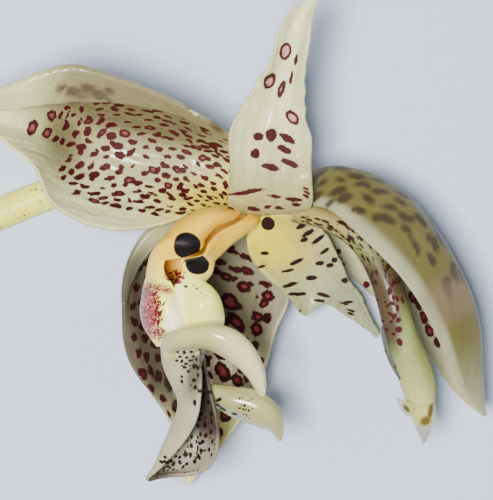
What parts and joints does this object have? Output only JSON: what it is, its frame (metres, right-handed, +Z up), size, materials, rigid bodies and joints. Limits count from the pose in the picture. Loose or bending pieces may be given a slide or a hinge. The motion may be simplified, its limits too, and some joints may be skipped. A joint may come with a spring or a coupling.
{
  "type": "stanhopea orchid flower",
  "caption": "Picked spotted orchid flower lying on its back, with sepals, petals, a curved column, a horned lip and its ovary and stalk.",
  "frame": {"origin": "centre of the overall box, on the surface the flower lies on", "axes": "+X from the cut stalk towards the dorsal sepal, +Y up the near petal, +Z up, out of the flower's face"},
  "size_m": [0.1183, 0.1031, 0.05],
  "materials": {
    "ovary_pedicel": "matte green-yellow skin with fine dark dots",
    "dorsal_sepal": "waxy, olive outside, cream inside with crimson spots",
    "lateral_sepal": "waxy cream with dense crimson-brown blotches",
    "petal": "waxy cream to pale green with crimson rings and dashes",
    "column": "waxy pale green with small crimson dashes",
    "anther_cap": "translucent pale cream",
    "lip_hypochile": "polished wax, orange inside, ivory outside, dark eye spots",
    "lip_mesochile": "polished ivory wax",
    "lip_epichile": "waxy grey-cream with many dark dots"
  },
  "bodies": {
    "root": {"ovary_pedicel": "ovary_pedicel", "dorsal_sepal": "dorsal_sepal", "lateral_sepal_near": "lateral_sepal", "lateral_sepal_far": "lateral_sepal", "petal_near": "petal", "petal_far": "petal", "column": "column", "anther_cap": "anther_cap", "lip_hypochile": "lip_hypochile", "lip_mesochile": "lip_mesochile", "lip_epichile": "lip_epichile"}
  },
  "joints": []
}
